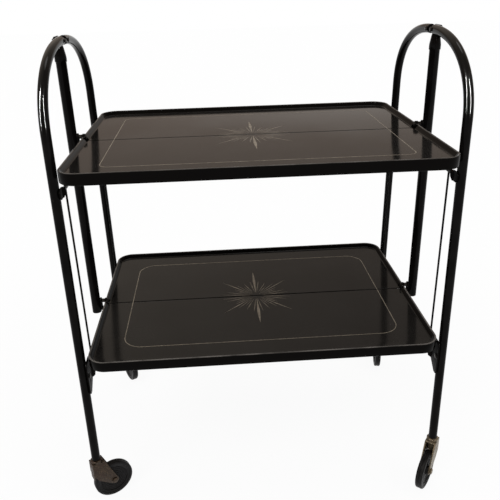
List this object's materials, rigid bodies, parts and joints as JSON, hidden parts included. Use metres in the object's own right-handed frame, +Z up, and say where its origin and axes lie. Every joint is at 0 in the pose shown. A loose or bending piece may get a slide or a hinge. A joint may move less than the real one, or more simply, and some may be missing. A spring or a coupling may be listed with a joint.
{
  "type": "folding serving trolley",
  "caption": "Drop-leaf serving trolley: an upper and a lower tray between arched tube legs on swivel casters; the tray halves fold up on the fixed end posts while the legs swing in.",
  "frame": {"origin": "middle of the bounding box, on the floor under the casters", "axes": "X along the trays from left to right, Y from front to rear, Z up"},
  "size_m": [0.6518, 0.4788, 0.8074],
  "materials": {
    "enamel": "glossy black enamel",
    "tray": "glossy black enamel with fine gold lines",
    "brass": "aged, tarnished",
    "pins": "darkened",
    "rubber": "matt black"
  },
  "bodies": {
    "frame": {"left_post": "enamel", "left_apex_bracket": "enamel", "left_top_seam_bracket": "enamel", "left_top_seam_pin": "pins", "left_lower_seam_bracket": "enamel", "left_lower_seam_pin": "pins", "left_front_apex_pin": "pins", "left_rear_apex_pin": "pins", "right_post": "enamel", "right_apex_bracket": "enamel", "right_top_seam_bracket": "enamel", "right_top_seam_pin": "pins", "right_lower_seam_bracket": "enamel", "right_lower_seam_pin": "pins", "right_front_apex_pin": "pins", "right_rear_apex_pin": "pins"},
    "top_front_leaf": {"top_front_tray": "tray"},
    "lower_front_leaf": {"lower_front_tray": "tray"},
    "left_front_link": {"left_front_link_rod": "enamel"},
    "left_front_leg": {"left_front_leg": "enamel", "left_front_leg_bracket": "enamel", "left_front_gusset": "enamel", "left_front_gusset_rivet": "pins", "left_front_caster_stem": "brass"},
    "left_front_caster": {"left_front_fork": "brass", "left_front_axle": "pins"},
    "left_front_wheel": {"left_front_wheel": "rubber"},
    "right_front_link": {"right_front_link_rod": "enamel"},
    "right_front_leg": {"right_front_leg": "enamel", "right_front_leg_bracket": "enamel", "right_front_gusset": "enamel", "right_front_gusset_rivet": "pins", "right_front_caster_stem": "brass"},
    "right_front_caster": {"right_front_fork": "brass", "right_front_axle": "pins"},
    "right_front_wheel": {"right_front_wheel": "rubber"},
    "top_rear_leaf": {"top_rear_tray": "tray"},
    "lower_rear_leaf": {"lower_rear_tray": "tray"},
    "left_rear_link": {"left_rear_link_rod": "enamel"},
    "left_rear_leg": {"left_rear_leg": "enamel", "left_rear_leg_bracket": "enamel", "left_rear_gusset": "enamel", "left_rear_gusset_rivet": "pins", "left_rear_caster_stem": "brass"},
    "left_rear_caster": {"left_rear_fork": "brass", "left_rear_axle": "pins"},
    "left_rear_wheel": {"left_rear_wheel": "rubber"},
    "right_rear_link": {"right_rear_link_rod": "enamel"},
    "right_rear_leg": {"right_rear_leg": "enamel", "right_rear_leg_bracket": "enamel", "right_rear_gusset": "enamel", "right_rear_gusset_rivet": "pins", "right_rear_caster_stem": "brass"},
    "right_rear_caster": {"right_rear_fork": "brass", "right_rear_axle": "pins"},
    "right_rear_wheel": {"right_rear_wheel": "rubber"}
  },
  "joints": [
    {"name": "front_fold", "type": "hinge", "parent": "frame", "child": "top_front_leaf", "pos_m": [0, 0.01145, 0.635], "axis": [-1, 0, 0], "range_deg": [0, 88]},
    {"name": "front_lower_fold", "type": "hinge", "parent": "frame", "child": "lower_front_leaf", "pos_m": [0, 0.01145, 0.31], "axis": [-1, 0, 0], "range_deg": [0, 88]},
    {"name": "left_front_link_turn", "type": "hinge", "parent": "top_front_leaf", "child": "left_front_link", "pos_m": [-0.3, -0.14855, 0.602], "axis": [-1, 0, 0], "range_deg": [-88, 0]},
    {"name": "left_front_leg_swing", "type": "hinge", "parent": "frame", "child": "left_front_leg", "pos_m": [-0.31, -0.00055, 0.795], "axis": [1, 0, 0], "range_deg": [0, 10]},
    {"name": "left_front_swivel", "type": "hinge", "parent": "left_front_leg", "child": "left_front_caster", "pos_m": [-0.31, -0.18815, 0.085], "axis": [0, 0, 1], "continuous": true},
    {"name": "left_front_spin", "type": "hinge", "parent": "left_front_caster", "child": "left_front_wheel", "pos_m": [-0.28748, -0.17515, 0.036], "axis": [-0.5, 0.866, 0], "continuous": true},
    {"name": "right_front_link_turn", "type": "hinge", "parent": "top_front_leaf", "child": "right_front_link", "pos_m": [0.3, -0.14855, 0.602], "axis": [-1, 0, 0], "range_deg": [-88, 0]},
    {"name": "right_front_leg_swing", "type": "hinge", "parent": "frame", "child": "right_front_leg", "pos_m": [0.31, -0.00055, 0.795], "axis": [1, 0, 0], "range_deg": [0, 10]},
    {"name": "right_front_swivel", "type": "hinge", "parent": "right_front_leg", "child": "right_front_caster", "pos_m": [0.31, -0.18815, 0.085], "axis": [0, 0, 1], "continuous": true},
    {"name": "right_front_spin", "type": "hinge", "parent": "right_front_caster", "child": "right_front_wheel", "pos_m": [0.29399, -0.20864, 0.036], "axis": [0.788, -0.6157, 0], "continuous": true},
    {"name": "rear_fold", "type": "hinge", "parent": "frame", "child": "top_rear_leaf", "pos_m": [0, 0.01145, 0.635], "axis": [1, 0, 0], "range_deg": [0, 88]},
    {"name": "rear_lower_fold", "type": "hinge", "parent": "frame", "child": "lower_rear_leaf", "pos_m": [0, 0.01145, 0.31], "axis": [1, 0, 0], "range_deg": [0, 88]},
    {"name": "left_rear_link_turn", "type": "hinge", "parent": "top_rear_leaf", "child": "left_rear_link", "pos_m": [-0.3, 0.17145, 0.602], "axis": [1, 0, 0], "range_deg": [-88, 0]},
    {"name": "left_rear_leg_swing", "type": "hinge", "parent": "frame", "child": "left_rear_leg", "pos_m": [-0.31, 0.02345, 0.795], "axis": [-1, 0, 0], "range_deg": [0, 10]},
    {"name": "left_rear_swivel", "type": "hinge", "parent": "left_rear_leg", "child": "left_rear_caster", "pos_m": [-0.31, 0.21105, 0.085], "axis": [0, 0, 1], "continuous": true},
    {"name": "left_rear_spin", "type": "hinge", "parent": "left_rear_caster", "child": "left_rear_wheel", "pos_m": [-0.29779, 0.18809, 0.036], "axis": [0.8829, 0.4695, 0], "continuous": true},
    {"name": "right_rear_link_turn", "type": "hinge", "parent": "top_rear_leaf", "child": "right_rear_link", "pos_m": [0.3, 0.17145, 0.602], "axis": [1, 0, 0], "range_deg": [-88, 0]},
    {"name": "right_rear_leg_swing", "type": "hinge", "parent": "frame", "child": "right_rear_leg", "pos_m": [0.31, 0.02345, 0.795], "axis": [-1, 0, 0], "range_deg": [0, 10]},
    {"name": "right_rear_swivel", "type": "hinge", "parent": "right_rear_leg", "child": "right_rear_caster", "pos_m": [0.31, 0.21105, 0.085], "axis": [0, 0, 1], "continuous": true},
    {"name": "right_rear_spin", "type": "hinge", "parent": "right_rear_caster", "child": "right_rear_wheel", "pos_m": [0.30549, 0.18544, 0.036], "axis": [0.9848, -0.1736, 0], "continuous": true}
  ],
  "couplings": [
    {"joint": "front_lower_fold", "follows": "front_fold", "ratio": 1},
    {"joint": "left_front_link_turn", "follows": "front_fold", "ratio": -1},
    {"joint": "left_front_leg_swing", "follows": "front_fold", "ratio": 0.1136},
    {"joint": "right_front_link_turn", "follows": "front_fold", "ratio": -1},
    {"joint": "right_front_leg_swing", "follows": "front_fold", "ratio": 0.1136},
    {"joint": "rear_lower_fold", "follows": "rear_fold", "ratio": 1},
    {"joint": "left_rear_link_turn", "follows": "rear_fold", "ratio": -1},
    {"joint": "left_rear_leg_swing", "follows": "rear_fold", "ratio": 0.1136},
    {"joint": "right_rear_link_turn", "follows": "rear_fold", "ratio": -1},
    {"joint": "right_rear_leg_swing", "follows": "rear_fold", "ratio": 0.1136}
  ]
}
